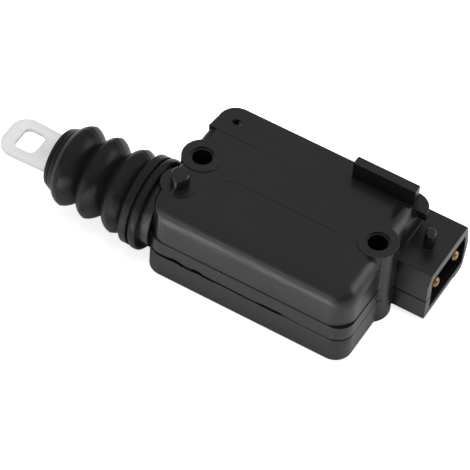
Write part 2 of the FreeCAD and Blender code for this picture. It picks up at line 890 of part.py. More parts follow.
def motor_can():
    outer = motor_body(0, motor_back, motor_front)
    inner = motor_body(-motor_wall, motor_back - over, motor_front - motor_wall)
    boss = rod_x(motor_boss_r, motor_front - motor_wall / 2, motor_front + motor_boss_height, motor_y, rod_z)
    hole = rod_x(motor_boss_r - motor_wall, motor_front - 2 * motor_wall, motor_front + over, motor_y, rod_z)
    return merge([outer.cut(inner), boss]).cut(hole)


def motor_end_cap():
    plug = motor_body(-motor_wall - bore_fit, motor_back, motor_back + end_cap_length)
    end = motor_back + end_cap_length + over
    bearing = rod_x(motor_boss_r - motor_wall, motor_back - over, end, motor_y, rod_z)
    ring = motor_body(-motor_wall - end_cap_rim, motor_back + end_cap_floor, end)
    core = rod_x(commutator_r + end_cap_hub, motor_back, motor_back + end_cap_length, motor_y, rod_z)
    return merge([plug.cut(ring), core]).cut(bearing)


def motor_bush(x0, x1):
    return tube_x(motor_boss_r - motor_wall, motor_shaft_r + bush_fit, x0, x1, motor_y, rod_z)


def motor_shaft():
    return rod_x(motor_shaft_r, motor_back + pinion_margin, wheel_x + wheel_width + 2 * pinion_margin,
                 motor_y, rod_z)


def armature_x():
    """Left end of the armature, behind the commutator and its clearances."""
    return motor_back + end_cap_length + commutator_length + armature_gap


def rotor_core():
    x0 = armature_x()
    core = tube_x(armature_r, motor_shaft_r, x0, x0 + armature_length, motor_y, rod_z)
    x1 = x0 + armature_length
    return core.cut(slot_pockets(0, x0 - over, x1 + over) + slot_mouths(x0 - over, x1 + over))


def around_armature(shape):
    """Copies of a shape about the motor axis, one for each slot."""
    copies = []
    for i in range(armature_slots):
        copy = shape.copy()
        copy.rotate(V(0, motor_y, rod_z), V(1, 0, 0), 360.0 * i / armature_slots + 90.0 / armature_slots)
        copies.append(copy)
    return copies


def slot_pockets(inset, x0, x1):
    half = pocket_half - inset
    return around_armature(box(x0, x1, motor_y + pocket_y + inset, motor_y + pocket_reach - inset,
                               rod_z - half, rod_z + half))


def slot_mouths(x0, x1):
    mouth = box(x0, x1, motor_y + pocket_y, motor_y + armature_r + over,
                rod_z - mouth_half, rod_z + mouth_half)
    return around_armature(mouth)


def rotor_windings():
    """Coil sides in the slots, joined by the end turns."""
    x0 = armature_x()
    x1 = x0 + armature_length
    bore = motor_shaft_r + winding_bore_gap
    left = tube_x(pocket_reach, bore, x0 - winding_overhang, x0 - slot_fit, motor_y, rod_z)
    right = tube_x(pocket_reach, bore, x1 + slot_fit, x1 + winding_overhang, motor_y, rod_z)
    return merge([left, right] + slot_pockets(slot_fit, x0 - over, x1 + over))


def commutator():
    x0 = motor_back + end_cap_length + commutator_gap
    body = tube_x(commutator_r, motor_shaft_r, x0, x0 + commutator_length, motor_y, rod_z)
    cuts = []
    for i in range(armature_slots):
        slit = box(x0 - over, x0 + commutator_length - slit_depth, motor_y + commutator_r - slit_depth,
                   motor_y + commutator_r + over, rod_z - slit_width / 2, rod_z + slit_width / 2)
        slit.rotate(V(0, motor_y, rod_z), V(1, 0, 0), 360.0 * i / armature_slots)
        cuts.append(slit)
    return body.cut(cuts)


def motor_brushes():
    """Pair of carbon brushes, above and below the commutator, held by the end cap's ring."""
    x0 = motor_back + end_cap_length + commutator_gap + brush_setback
    room = rod_x(commutator_r + brush_fit, x0 - over, x0 + brush_length + over, motor_y, rod_z)
    rim = motor_height / 2 - motor_wall - brush_rim_gap
    half = brush_width / 2
    pair = []
    for side in (-1, 1):
        low = rod_z + min(side * brush_foot, side * rim)
        brush = box(x0, x0 + brush_length, motor_y - half, motor_y + half, low, low + rim - brush_foot)
        pair.append(brush.cut(room))
    return Part.makeCompound(pair)


def motor_magnets():
    """Pair of ferrite arcs, above and below the armature."""
    inner = armature_r + magnet_gap
    x0 = armature_x() - magnet_overhang
    ring = tube_x(inner + magnet_thickness, inner, x0, x0 + magnet_length, motor_y, rod_z)
    ring = ring.common(motor_body(-motor_wall - magnet_fit, x0 - over, x0 + magnet_length + over))
    half = math.radians(magnet_angle / 2)
    reach = 2 * motor_height
    arcs = []
    for side in (-1, 1):
        corners = [V(x0 - over, motor_y, rod_z),
                   V(x0 - over, motor_y - reach * math.sin(half), rod_z + side * reach * math.cos(half)),
                   V(x0 - over, motor_y + reach * math.sin(half), rod_z + side * reach * math.cos(half))]
        wedge = Part.Face(Part.makePolygon(corners + [corners[0]])).extrude(V(magnet_length + 2 * over, 0, 0))
        arcs.append(ring.common(wedge))
    return Part.makeCompound(arcs)


def strip_y():
    """Near face of the brass strips, in the gap between the motor and the far wall."""
    return motor_y + motor_width / 2 + strip_gap


def blade_end():
    """Inner end of the pin blades."""
    return case_right - wall - strip_width - blade_gap


def tab_x():
    """Left face of the strips' tabs, just behind the motor."""
    return motor_back - tab_gap - tab_thickness


def disc_x():
    return blade_end() - disc_gap - disc_thickness - strip_thickness


def busbar_near():
    """Strip on edge from the motor to the overload disc."""
    low = parting_z - strip_width / 2
    y = strip_y()
    x1 = disc_x()
    far = y + strip_thickness
    run = box(tab_x(), x1, y, far, low, low + strip_width)
    tail = box(x1 - strip_thickness, x1, pin_near_y - strip_width / 2, far, low, low + strip_width)
    tab = box(tab_x(), tab_x() + tab_thickness, motor_y + tab_offset, far, low, low + strip_width)
    return merge([run, tail, tab])


def busbar_far():
    """Strip on edge above the first, with a leg down to the far pin's blade."""
    low = rod_z + strip_rise
    y = strip_y()
    leg_x = blade_end()
    far = y + strip_thickness
    run = box(tab_x(), leg_x + strip_width, y, far, low, low + strip_width)
    foot = parting_z + blade_thickness / 2 + bore_fit
    leg = box(leg_x, leg_x + strip_width, y, far, foot, low + over)
    tab = box(tab_x(), tab_x() + tab_thickness, motor_y + tab_offset, far, low, low + strip_width)
    return merge([run, leg, tab])


def overload_disc():
    x0 = disc_x() + bore_fit
    return rod_x(disc_r, x0, x0 + disc_thickness, pin_near_y, parting_z)


def terminal_pin_near():
    pin = pin_shape(pin_near_y, pin_inner_y()[0], 0)
    x0 = disc_x() + disc_thickness + 2 * bore_fit
    half = blade_width / 2
    plate = box(x0, x0 + strip_thickness, pin_near_y - half, pin_near_y + half,
                parting_z - disc_r / 2, parting_z + disc_r / 2)
    link = box(x0, blade_end() + seat, pin_near_y - half, pin_near_y + half,
               parting_z - blade_thickness / 2, parting_z + blade_thickness / 2)
    return merge([pin, plate, link])


def terminal_pin_far():
    return pin_shape(pin_far_y, pin_inner_y()[1], 0)


def rod_guide():
    sleeve = tube_x(guide_r, shank_r + rod_fit, nose_end, guide_end(), rod_y, rod_z)
    rim = guide_r + guide_flange
    flange = tube_x(rim, shank_r + rod_fit, nose_end - guide_flange, nose_end, rod_y, rod_z)
    return merge([sleeve, flange])


def buffer_ring(x0, inner_r):
    return tube_x(head_r - running_gap, inner_r, x0, x0 + buffer_thickness, rod_y, rod_z)


def spindle_bush(journal_r, x0):
    return tube_x(journal_r + bush_wall, journal_r + bush_fit, x0, x0 + support_thickness, rod_y, rod_z)


def reduction_axle():
    return rod_x(axle_r, axle_start(), axle_end(), axle_y, rod_z)


NODES = {
    "lower_housing": lower_housing,
    "upper_housing": upper_housing,
    "boot": boot,
    "output_rod": output_rod,
    "rod_guide": rod_guide,
    "stop_buffer_out": lambda: buffer_ring(buffer_out_x, shank_r + rod_clearance),
    "stop_buffer_in": lambda: buffer_ring(buffer_in_x, journal_front_r + rod_clearance),
    "drive_spindle": drive_spindle,
    "spindle_gear": spindle_gear,
    "spindle_bush_front": lambda: spindle_bush(journal_front_r, support_x),
    "spindle_bush_rear": lambda: spindle_bush(journal_rear_r, rear_support_x),
    "thrust_washer": lambda: tube_x(journal_rear_r + bush_wall, journal_rear_r + washer_gap, washer_x,
                                    washer_x + washer_thickness, rod_y, rod_z),
    "reduction_gear": reduction_gear,
    "reduction_axle": reduction_axle,
    "motor_pinion": motor_pinion,
    "motor_shaft": motor_shaft,
    "rotor_core": rotor_core,
    "rotor_windings": rotor_windings,
    "commutator": commutator,
    "motor_can": motor_can,
    "motor_end_cap": motor_end_cap,
    "motor_magnets": motor_magnets,
    "motor_brushes": motor_brushes,
    "motor_bush_front": lambda: motor_bush(motor_front - motor_bush_length, motor_front + motor_boss_height),
    "motor_bush_rear": lambda: motor_bush(motor_back + motor_bush_setback, motor_back + end_cap_length),
    "busbar_near": busbar_near,
    "busbar_far": busbar_far,
    "overload_disc": overload_disc,
    "terminal_pin_near": terminal_pin_near,
    "terminal_pin_far": terminal_pin_far,
}

for node, make in NODES.items():
    shape = make()
    shape.exportStep("parts/" + node + ".step")
    print(node, len(shape.Solids), shape.isValid(), round(shape.Volume, 1))
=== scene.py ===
import bmesh
import bpy
import json
import math
from mathutils import Matrix, Vector


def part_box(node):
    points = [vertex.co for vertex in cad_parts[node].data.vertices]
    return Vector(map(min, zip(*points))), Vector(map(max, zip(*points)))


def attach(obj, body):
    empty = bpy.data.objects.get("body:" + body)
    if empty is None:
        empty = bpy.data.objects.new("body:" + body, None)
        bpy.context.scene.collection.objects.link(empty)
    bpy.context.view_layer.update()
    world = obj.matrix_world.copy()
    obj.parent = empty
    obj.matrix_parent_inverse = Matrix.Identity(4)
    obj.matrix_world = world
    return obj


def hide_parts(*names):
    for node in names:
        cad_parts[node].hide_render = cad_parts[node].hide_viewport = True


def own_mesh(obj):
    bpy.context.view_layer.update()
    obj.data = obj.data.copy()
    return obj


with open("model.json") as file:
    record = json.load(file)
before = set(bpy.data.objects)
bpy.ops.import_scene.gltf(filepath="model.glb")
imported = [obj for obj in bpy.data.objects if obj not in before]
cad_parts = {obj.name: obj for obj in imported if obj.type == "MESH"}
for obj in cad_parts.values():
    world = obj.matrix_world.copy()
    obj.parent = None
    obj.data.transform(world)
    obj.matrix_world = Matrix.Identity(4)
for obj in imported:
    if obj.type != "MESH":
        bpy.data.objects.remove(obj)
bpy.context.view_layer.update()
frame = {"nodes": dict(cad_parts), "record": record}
nodes = frame["nodes"]
scene = bpy.context.scene
scene.view_settings.view_transform = "Standard"

# Everything is in metres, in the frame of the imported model: +X to the plug socket, +Z up.
MM = 0.001

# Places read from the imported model
boot_low, boot_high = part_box("boot")
rod_y = (boot_low.y + boot_high.y) / 2
rod_z = (boot_low.z + boot_high.z) / 2
case_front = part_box("lower_housing")[0].y

# Boot: lengths along the rod's axis and radii. mould_line is the angle of its first mould line, in degrees.
cuff_start = boot_high.x
cuff_end = cuff_start - 6.4 * MM
ring_start = boot_low.x + 3.5 * MM
boot_end = boot_low.x
cuff_r = (boot_high.y - boot_low.y) / 2
cuff_bore = 13.46 * MM
boot_wall = 1.1 * MM
crest_x = [-51.2 * MM, -61.5 * MM, -71.0 * MM]
crest_r = [14.8 * MM, 14.5 * MM, 14.2 * MM]
valley_x = [-56.4 * MM, -65.9 * MM]
valley_r = 10.2 * MM
shoulder_r = 11.4 * MM
slack_power = 1.55
steep_power = 2.0
flash_height = 0.10 * MM
mould_line = 60.0
mould_line_depth = 0.25 * MM
end_ring_r = 10.3 * MM
rod_bore = 3.0 * MM

# A mould line's section: degrees from its middle and share of its depth, and the turn kept clear for it
mould_line_shape = ((-1.3, 0.0), (-0.6, 0.6), (0.0, 1.0), (0.6, 0.6), (1.3, 0.0))
mould_line_clear = 1.6

# Joining and shading of flat faces: joined_angle is in degrees
joined_gap = 0.002 * MM
joined_angle = 0.6
flat_area = 4 * MM * MM
flat_cosine = 0.9999

# Rounding of edges
edge_round = 0.22 * MM
small_round = 0.3 * MM

# Housing: places and fine lines
seam_z = 10.9 * MM
case_right = 37.3 * MM
corner_r = 6.0 * MM
dome_inset = 0.2 * MM
dome_corner_r = 7.4 * MM
dome_z = 17.0 * MM
seam_low = -36.0 * MM
side_end = 1.6 * MM
socket_near = 3.0 * MM
socket_end = 50.7 * MM
socket_seam = 0.55 * MM
socket_seam_depth = 1.6 * MM
socket_run = (case_right + 0.4 * MM, socket_end + 0.8 * MM)
socket_reach = 2.0 * MM
ear_hole = (-31.0 * MM, 19.4 * MM)
ear_hole_reach = 2.3 * MM
step_front = 13.0 * MM
step_below = 0.6 * MM
step_above = 0.05 * MM
line_reach = 0.16 * MM
seam_reach = 0.8 * MM
seam_depth = 1.2 * MM
gap_start = 0.08 * MM
gap_spare = 0.05 * MM
blade_out = 1.0 * MM
dome_groove = 0.10 * MM
dome_groove_low = 0.01 * MM
dome_groove_depth = 0.3 * MM
# Weld seam along the front and right walls: distance from its left end, rise and width, all in mm
seam_shape = ((0, 0.0, 0.9), (6.5, -0.1, 1.15), (10.1, 0.30, 1.4), (14.7, -0.25, 1.4), (19.0, 0.28, 1.4),
              (22.0, -0.15, 1.1), (28.0, 0.0, 0.75), (39.3, -0.2, 0.75), (44.0, 0.05, 1.2), (49.0, 0.1, 1.2),
              (51.2, 0.15, 0.45), (57.0, -0.2, 0.32), (66.0, -0.05, 0.36), (70.5, 0.0, 0.6), (80.0, 0.0, 0.5),
              (110.0, 0.0, 0.35))
label_x = (-20.8 * MM, 22.8 * MM)
label_y = (-20.0 * MM, -3.7 * MM)
label_corner_r = 2.5 * MM
label_depth = 0.10 * MM
gate_place = (-2.5 * MM, 7.9 * MM)
gate_r = 4.1 * MM
gate_depth = 0.08 * MM
top_z = 33.0 * MM
above_top = top_z + 1.0 * MM

# Camera, as the photograph was taken
camera_place = Vector((0.2891, -0.6056, 0.8336))
camera_right = Vector((0.8594, 0.5086, 0.0526))
camera_down = Vector((0.4236, -0.6505, -0.6304))
camera_lens = 249.56
sensor_width = 36.0

# Strength of the surroundings at the horizon and overhead, and the heights between which it grows
world_low = 0.14
world_high = 0.50
horizon_height = 0.12
overhead_height = 0.62

# Floor: half its width, its white, and how much it glows to the camera alone
floor_half = 3.0
floor_white = (0.93, 0.93, 0.93, 1)
floor_glow = 0.75

# Noise in the materials: waves per metre, and the share of its range that is used
cloud_scale = 60.0
gloss_scale = 220.0
marks_scale = 900.0
tint_scale = 150.0
noise_low = 0.3
noise_high = 0.7


def link(mesh, name):
    obj = bpy.data.objects.new(name, mesh)
    scene.collection.objects.link(obj)
    return obj


def from_bmesh(bm, name):
    mesh = bpy.data.meshes.new(name)
    bm.to_mesh(mesh)
    bm.free()
    return link(mesh, name)


def smooth(obj, degrees):
    obj.data.shade_smooth()
    obj.data.set_sharp_from_angle(angle=math.radians(degrees))
    return obj


def bake_modifiers(obj):
    """Give the object the mesh that its modifiers make."""
    graph = bpy.context.evaluated_depsgraph_get()
    graph.update()
    mesh = bpy.data.meshes.new_from_object(obj.evaluated_get(graph))
    obj.modifiers.clear()
    obj.data = mesh


def flat_faces(obj):
    """Let the large faces set the shading, and shade the large ones square to an axis quite flat."""
    weigh = obj.modifiers.new("weigh", "WEIGHTED_NORMAL")
    weigh.keep_sharp = True
    weigh.weight = 90
    bake_modifiers(obj)
    directions = [corner.vector.copy() for corner in obj.data.corner_normals]
    for face in obj.data.polygons:
        if face.area > flat_area and max(abs(part) for part in face.normal) > flat_cosine:
            for i in face.loop_indices:
                directions[i] = face.normal.copy()
    obj.data.normals_split_custom_set(directions)


def whole_faces(node, name):
    """A new piece of a CAD node's shape, with its flat faces in one again."""
    bm = bmesh.new()
    bm.from_mesh(nodes[node].data)
    bmesh.ops.remove_doubles(bm, verts=bm.verts, dist=joined_gap)
    bmesh.ops.dissolve_limit(bm, angle_limit=math.radians(joined_angle), verts=bm.verts, edges=bm.edges)
    return from_bmesh(bm, name)


def whole(edge):
    """The whole rounding for every edge."""
    return 1.0


def housing_share(edge):
    """How much of the rounding an edge gets: none on the fine lines, the ear's hole and the low step."""
    ends = [v.co for v in edge.verts]
    if max(math.hypot(p.x - ear_hole[0], p.y - ear_hole[1]) for p in ends) < ear_hole_reach:
        return 0.0
    if min(p.y for p in ends) > step_front and min(p.z for p in ends) > top_z - step_below:
        return 0.0 if max(p.z for p in ends) < top_z + step_above else 1.0
    for z in (top_z, dome_z):
        if max(abs(p.z - z) for p in ends) < line_reach:
            return 0.0
    if max(abs(p.z - seam_z) for p in ends) > seam_reach:
        return 1.0
    near = max(p.y for p in ends)
    in_front = near < case_front + corner_r
    at_right = min(p.x for p in ends) > case_right - seam_depth and near < socket_near + socket_reach
    return 0.0 if in_front or at_right else 1.0


def round_edges(obj, width, segments=2, degrees=32, share=whole):
    bm = bmesh.new()
    bm.from_mesh(obj.data)
    weights = bm.edges.layers.float.new("bevel_weight_edge")
    for edge in bm.edges:
        if len(edge.link_faces) == 2 and edge.calc_face_angle() > math.radians(degrees):
            edge[weights] = share(edge)
    bm.to_mesh(obj.data)
    bm.free()
    bevel = obj.modifiers.new("round", "BEVEL")
    bevel.width = width
    bevel.segments = segments
    bevel.limit_method = "WEIGHT"
    bevel.use_clamp_overlap = False
    bevel.harden_normals = True
    bake_modifiers(obj)


def cut(obj, cutter):
    """Take the cutter's shape out of the object and drop the cutter."""
    tool = obj.modifiers.new("cut", "BOOLEAN")
    tool.operation = "DIFFERENCE"
    tool.solver = "EXACT"
    tool.object = cutter
    bake_modifiers(obj)
    bpy.data.objects.remove(cutter)


def lathe(profile, name, lines=(), line_depth=0.0, steps=144):
    """Closed piece turned about the rod's axis from a closed profile of (x, radius).

    lines are angles, in degrees, of fine grooves along the piece."""
    turns = [(360.0 * i / steps, 0.0) for i in range(steps)]
    for line in lines:
        turns = [t for t in turns if abs(t[0] - line) > mould_line_clear]
        for offset, share in mould_line_shape:
            turns.append((line + offset, share * line_depth))
    turns.sort()
    steps = len(turns)
    bm = bmesh.new()
    rings = []
    for degrees, depth in turns:
        angle = math.radians(degrees)
        ring = []
        for x, r in profile:
            reach = r - depth
            ring.append(bm.verts.new((x, rod_y + reach * math.cos(angle), rod_z + reach * math.sin(angle))))
        rings.append(ring)
    count = len(profile)
    for i in range(steps):
        here = rings[i]
        following = rings[(i + 1) % steps]
        for k in range(count):
            n = (k + 1) % count
            bm.faces.new((here[k], here[n], following[n], following[k]))
    bmesh.ops.recalc_face_normals(bm, faces=bm.faces)
    return smooth(from_bmesh(bm, name), 50)


def arc(x, r, radius, start, end, steps):
    """Points of an arc in the profile, by angles in degrees from +X towards larger radii."""
    points = []
    for i in range(steps + 1):
        a = math.radians(start + (end - start) * i / steps)
        points.append((x + radius * math.cos(a), r + radius * math.sin(a)))
    return points


# Materials


def node_material(name):
    material = bpy.data.materials.new(name)
    material.use_nodes = True
    tree = material.node_tree
    return material, tree, tree.nodes["Principled BSDF"]


def noise(tree, scale, detail=4.0, roughness=0.5, stretch=None):
    """Noise in the object's own metres."""
    place = tree.nodes.new("ShaderNodeTexCoord")
    source = place.outputs["Object"]
    if stretch is not None:
        mapping = tree.nodes.new("ShaderNodeMapping")
        mapping.inputs["Scale"].default_value = stretch
        tree.links.new(source, mapping.inputs["Vector"])
        source = mapping.outputs["Vector"]
    texture = tree.nodes.new("ShaderNodeTexNoise")
    texture.inputs["Scale"].default_value = scale
    texture.inputs["Detail"].default_value = detail
    texture.inputs["Roughness"].default_value = roughness
    tree.links.new(source, texture.inputs["Vector"])
    return texture.outputs["Fac"]


def spread(tree, value, low, high, out_low, out_high):
    """Value stretched from one range to another."""
    step = tree.nodes.new("ShaderNodeMapRange")
    step.inputs["From Min"].default_value = low
    step.inputs["From Max"].default_value = high
    step.inputs["To Min"].default_value = out_low
    step.inputs["To Max"].default_value = out_high
    tree.links.new(value, step.inputs["Value"])
    return step.outputs["Result"]


def mix_colour(tree, value, first, second):
    mix = tree.nodes.new("ShaderNodeMix")
    mix.data_type = "RGBA"
    mix.inputs["A"].default_value = (*first, 1)
    mix.inputs["B"].default_value = (*second, 1)
    tree.links.new(value, mix.inputs["Factor"])
    return mix.outputs["Result"]


def bump(tree, shader, value, distance):
    node = tree.nodes.new("ShaderNodeBump")
    node.inputs["Distance"].default_value = distance
    node.inputs["Strength"].default_value = 1.0
    tree.links.new(value, node.inputs["Height"])
    tree.links.new(node.outputs["Normal"], shader.inputs["Normal"])


def moulded(name, dark, light, rough_low, rough_high, grain=2200.0, depth=0.00002, specular=0.5):
    """Moulded plastic or rubber: fine grain, cloudy colour and uneven gloss."""
    material, tree, shader = node_material(name)
    cloud = noise(tree, cloud_scale, 5.0, 0.6)
    tree.links.new(mix_colour(tree, cloud, dark, light), shader.inputs["Base Color"])
    gloss = noise(tree, gloss_scale, 6.0, 0.65)
    roughness = spread(tree, gloss, noise_low, noise_high, rough_low, rough_high)
    tree.links.new(roughness, shader.inputs["Roughness"])
    shader.inputs["Specular IOR Level"].default_value = specular
    bump(tree, shader, noise(tree, grain, 3.0, 0.6), depth)
    return material


def metal(name, dark, light, rough_low, rough_high, stretch=(1, 12, 12), depth=0.00001):
    """Metal with fine drawn marks along X."""
    material, tree, shader = node_material(name)
    shader.inputs["Metallic"].default_value = 1.0
    marks = noise(tree, marks_scale, 4.0, 0.6, stretch)
    tree.links.new(mix_colour(tree, noise(tree, tint_scale), dark, light), shader.inputs["Base Color"])
    roughness = spread(tree, marks, noise_low, noise_high, rough_low, rough_high)
    tree.links.new(roughness, shader.inputs["Roughness"])
    bump(tree, shader, marks, depth)
    return material


case_black = moulded("case_black", (0.0065, 0.0065, 0.007), (0.0095, 0.0095, 0.010), 0.275, 0.31)
# Painted shade: a near-black, dull material for the inside of the seam's groove, standing in for the shadow
# of a deep gap.
gap_painted_shade = moulded("gap_painted_shade", (0.001, 0.001, 0.001), (0.002, 0.002, 0.002), 0.8, 0.95, specular=0.1)
boot_rubber = moulded("boot_rubber", (0.008, 0.008, 0.008), (0.012, 0.012, 0.012), 0.26, 0.34, 900.0,
                      specular=0.2)
buffer_rubber = moulded("buffer_rubber", (0.012, 0.012, 0.012), (0.02, 0.02, 0.02), 0.6, 0.75)
guide_plastic = moulded("guide_plastic", (0.62, 0.60, 0.55), (0.70, 0.68, 0.63), 0.4, 0.5)
gear_plastic = moulded("gear_plastic", (0.66, 0.63, 0.56), (0.74, 0.71, 0.64), 0.35, 0.45)
spindle_plastic = moulded("spindle_plastic", (0.55, 0.55, 0.53), (0.64, 0.64, 0.62), 0.4, 0.5)
cap_plastic = moulded("cap_plastic", (0.10, 0.10, 0.105), (0.14, 0.14, 0.145), 0.4, 0.5)
disc_ceramic = moulded("disc_ceramic", (0.05, 0.12, 0.06), (0.07, 0.16, 0.08), 0.3, 0.4)
carbon = moulded("carbon", (0.03, 0.03, 0.03), (0.05, 0.05, 0.05), 0.6, 0.7)
ferrite = moulded("ferrite", (0.05, 0.05, 0.055), (0.08, 0.08, 0.085), 0.5, 0.65)
brass = metal("brass", (0.24, 0.13, 0.05), (0.36, 0.21, 0.09), 0.14, 0.24)
bronze = metal("bronze", (0.45, 0.29, 0.14), (0.60, 0.40, 0.22), 0.45, 0.6, (1, 1, 1), 0.00004)
steel = metal("steel", (0.50, 0.51, 0.53), (0.60, 0.61, 0.63), 0.2, 0.32)
can_steel = metal("can_steel", (0.48, 0.50, 0.51), (0.62, 0.63, 0.64), 0.28, 0.42)
core_steel = metal("core_steel", (0.16, 0.16, 0.17), (0.26, 0.26, 0.27), 0.4, 0.55, (40, 1, 1))
copper = metal("copper", (0.50, 0.22, 0.10), (0.68, 0.33, 0.18), 0.3, 0.42, (1, 30, 30), 0.00004)


def translucent():
    """Natural white plastic that lets some light through."""
    material, tree, shader = node_material("rod_white")
    cloud = noise(tree, 90.0, 4.0, 0.55)
    colour = mix_colour(tree, cloud, (0.89, 0.89, 0.88), (0.95, 0.95, 0.94))
    tree.links.new(colour, shader.inputs["Base Color"])
    shader.inputs["Subsurface Weight"].default_value = 0.35
    shader.inputs["Subsurface Radius"].default_value = (0.004, 0.004, 0.004)
    shader.inputs["Subsurface Scale"].default_value = 1.0
    shader.inputs["Transmission Weight"].default_value = 0.15
    roughness = spread(tree, noise(tree, 300.0), noise_low, noise_high, 0.35, 0.5)
    tree.links.new(roughness, shader.inputs["Roughness"])
    bump(tree, shader, noise(tree, 700.0, 3.0), 0.00002)
    return material


rod_white = translucent()

by_slot = {
    "case_black": case_black, "boot_rubber": boot_rubber, "rod_white": rod_white,
    "guide_plastic": guide_plastic, "buffer_rubber": buffer_rubber, "gear_plastic": gear_plastic,
    "spindle_plastic": spindle_plastic, "brass": brass, "bronze": bronze, "steel": steel,
    "can_steel": can_steel, "core_steel": core_steel, "copper": copper, "ferrite": ferrite,
    "carbon": carbon, "cap_plastic": cap_plastic, "disc_ceramic": disc_ceramic,
}


def dress(obj, slot):
    obj.data.materials.clear()
    obj.data.materials.append(by_slot[slot])


for part in frame["record"]["subparts"]:
    dress(nodes[part["node"]], part["material_slot"])


def stand_for(piece, node, body, slot):
    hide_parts(node)
    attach(piece, body)
    dress(piece, slot)


# Housing


def wall_path(inset, radius):
    """Points and outward directions along the front wall, round the corner and up the right wall."""
    front_steps = 140
    corner_steps = 16
    side_steps = 40
    front = case_front + inset
    right = case_right - inset
    stations = []
    straight = right - radius - seam_low
    for i in range(front_steps + 1):
        stations.append((seam_low + straight * i / front_steps, front, 0.0, -1.0))
    for i in range(1, corner_steps + 1):
        a = math.radians(-90 + 90 * i / corner_steps)
        x = right - radius + radius * math.cos(a)
        y = front + radius + radius * math.sin(a)
        stations.append((x, y, math.cos(a), math.sin(a)))
    for i in range(1, side_steps + 1):
        y = front + radius + (side_end - front - radius) * i / side_steps
        stations.append((right, y, 1.0, 0.0))
    return stations


def groove_tool(stations, depth, heights, name):
    """Blade that opens a groove along the path.

    heights gives its low and high edge at a distance along the path."""
    bm = bmesh.new()
    rows = []
    run = 0.0
    last = stations[0]
    for x, y, nx, ny in stations:
        run += math.hypot(x - last[0], y - last[1])
        last = (x, y)
        low, high = heights(run)
        corners = ((blade_out, low), (-depth, low), (-depth, high), (blade_out, high))
        rows.append([bm.verts.new((x + nx * out, y + ny * out, z)) for out, z in corners])
    for here, following in zip(rows, rows[1:]):
        for k in range(4):
            n = (k + 1) % 4
            bm.faces.new((here[k], here[n], following[n], following[k]))
    bm.faces.new(rows[0])
    bm.faces.new(rows[-1])
    bmesh.ops.recalc_face_normals(bm, faces=bm.faces)
    return from_bmesh(bm, name)


def seam_heights(run):
    place = run / MM
    for left, right in zip(seam_shape, seam_shape[1:]):
        if place <= right[0]:
            break
    share = min(1.0, max(0.0, (place - left[0]) / (right[0] - left[0])))
    share = share * share * (3 - 2 * share)
    rise = (left[1] + (right[1] - left[1]) * share) * MM
    width = (left[2] + (right[2] - left[2]) * share) * MM
    return seam_z + rise - width / 2, seam_z + rise + width / 2


def socket_heights(run):
    return seam_z - socket_seam / 2, seam_z + socket_seam / 2


def in_seam(place):
    """Whether a place is in the seam's groove: behind the walls' face or behind the socket's near wall."""
    if abs(place.z - seam_z) >= seam_reach:
        return False
    across = max(0.0, place.x - (case_right - corner_r))
    along = max(0.0, case_front + corner_r - place.y)
    depth = corner_r - math.hypot(across, along)
    if place.y < side_end and gap_start < depth < seam_depth + gap_spare:
        return True
    return place.x > socket_run[0] and gap_start < place.y - socket_near < socket_seam_depth + gap_spare


def paint_gap_shade(piece):
    """Paint shade into the inside of the seam's groove: a near-black, dull material stands in for the shadow
    of a deep gap.
    """
    piece.data.materials.append(gap_painted_shade)
    for face in piece.data.polygons:
        if in_seam(face.center):
            face.material_index = 1


def dome_heights(run):
    return dome_z - dome_groove_low, dome_z + dome_groove


def plate(outline, low, high, name):
    """Flat block with an outline of (x, y)."""
    bm = bmesh.new()
    face = bm.faces.new([bm.verts.new((x, y, low)) for x, y in outline])
    made = bmesh.ops.extrude_face_region(bm, geom=[face])
    lifted = [v for v in made["geom"] if isinstance(v, bmesh.types.BMVert)]
    bmesh.ops.translate(bm, verts=lifted, vec=(0, 0, high - low))
    bmesh.ops.recalc_face_normals(bm, faces=bm.faces)
    return from_bmesh(bm, name)


def rounded_rectangle(x_pair, y_pair, radius, steps=6):
    points = []
    corners = ((x_pair[1], y_pair[1], 0), (x_pair[0], y_pair[1], 90), (x_pair[0], y_pair[0], 180),
               (x_pair[1], y_pair[0], 270))
    for x, y, start in corners:
        cx = x - math.copysign(radius, x - sum(x_pair) / 2)
        cy = y - math.copysign(radius, y - sum(y_pair) / 2)
        for i in range(steps + 1):
            a = math.radians(start + 90 * i / steps)
            points.append((cx + radius * math.cos(a), cy + radius * math.sin(a)))
    return points


def circle(centre, radius, steps=64):
    points = []
    for i in range(steps):
        a = 2 * math.pi * i / steps
        points.append((centre[0] + radius * math.cos(a), centre[1] + radius * math.sin(a)))
    return points


upper = whole_faces("upper_housing", "case_upper")
lower = whole_faces("lower_housing", "case_lower")
label_outline = rounded_rectangle(label_x, label_y, label_corner_r)
cut(upper, plate(label_outline, top_z - label_depth, above_top, "field"))
cut(upper, plate(circle(gate_place, gate_r), top_z - gate_depth, above_top, "gate"))
skirt_path = wall_path(0.0, corner_r)
cut(upper, groove_tool(skirt_path, seam_depth, seam_heights, "seam"))
cut(lower, groove_tool(skirt_path, seam_depth, seam_heights, "seam"))
cut(upper, groove_tool(wall_path(dome_inset, dome_corner_r), dome_groove_depth, dome_heights, "dome_line"))
socket_path = [(x, socket_near, 0.0, -1.0) for x in socket_run]
for piece in (upper, lower):
    cut(piece, groove_tool(socket_path, socket_seam_depth, socket_heights, "socket_seam"))
for piece, node in ((upper, "upper_housing"), (lower, "lower_housing")):
    round_edges(piece, edge_round, share=housing_share)
    flat_faces(smooth(piece, 30))
    stand_for(piece, node, "housing", "case_black")
    # Paint shade into the seam's groove with the near-black gap material.
    paint_gap_shade(piece)
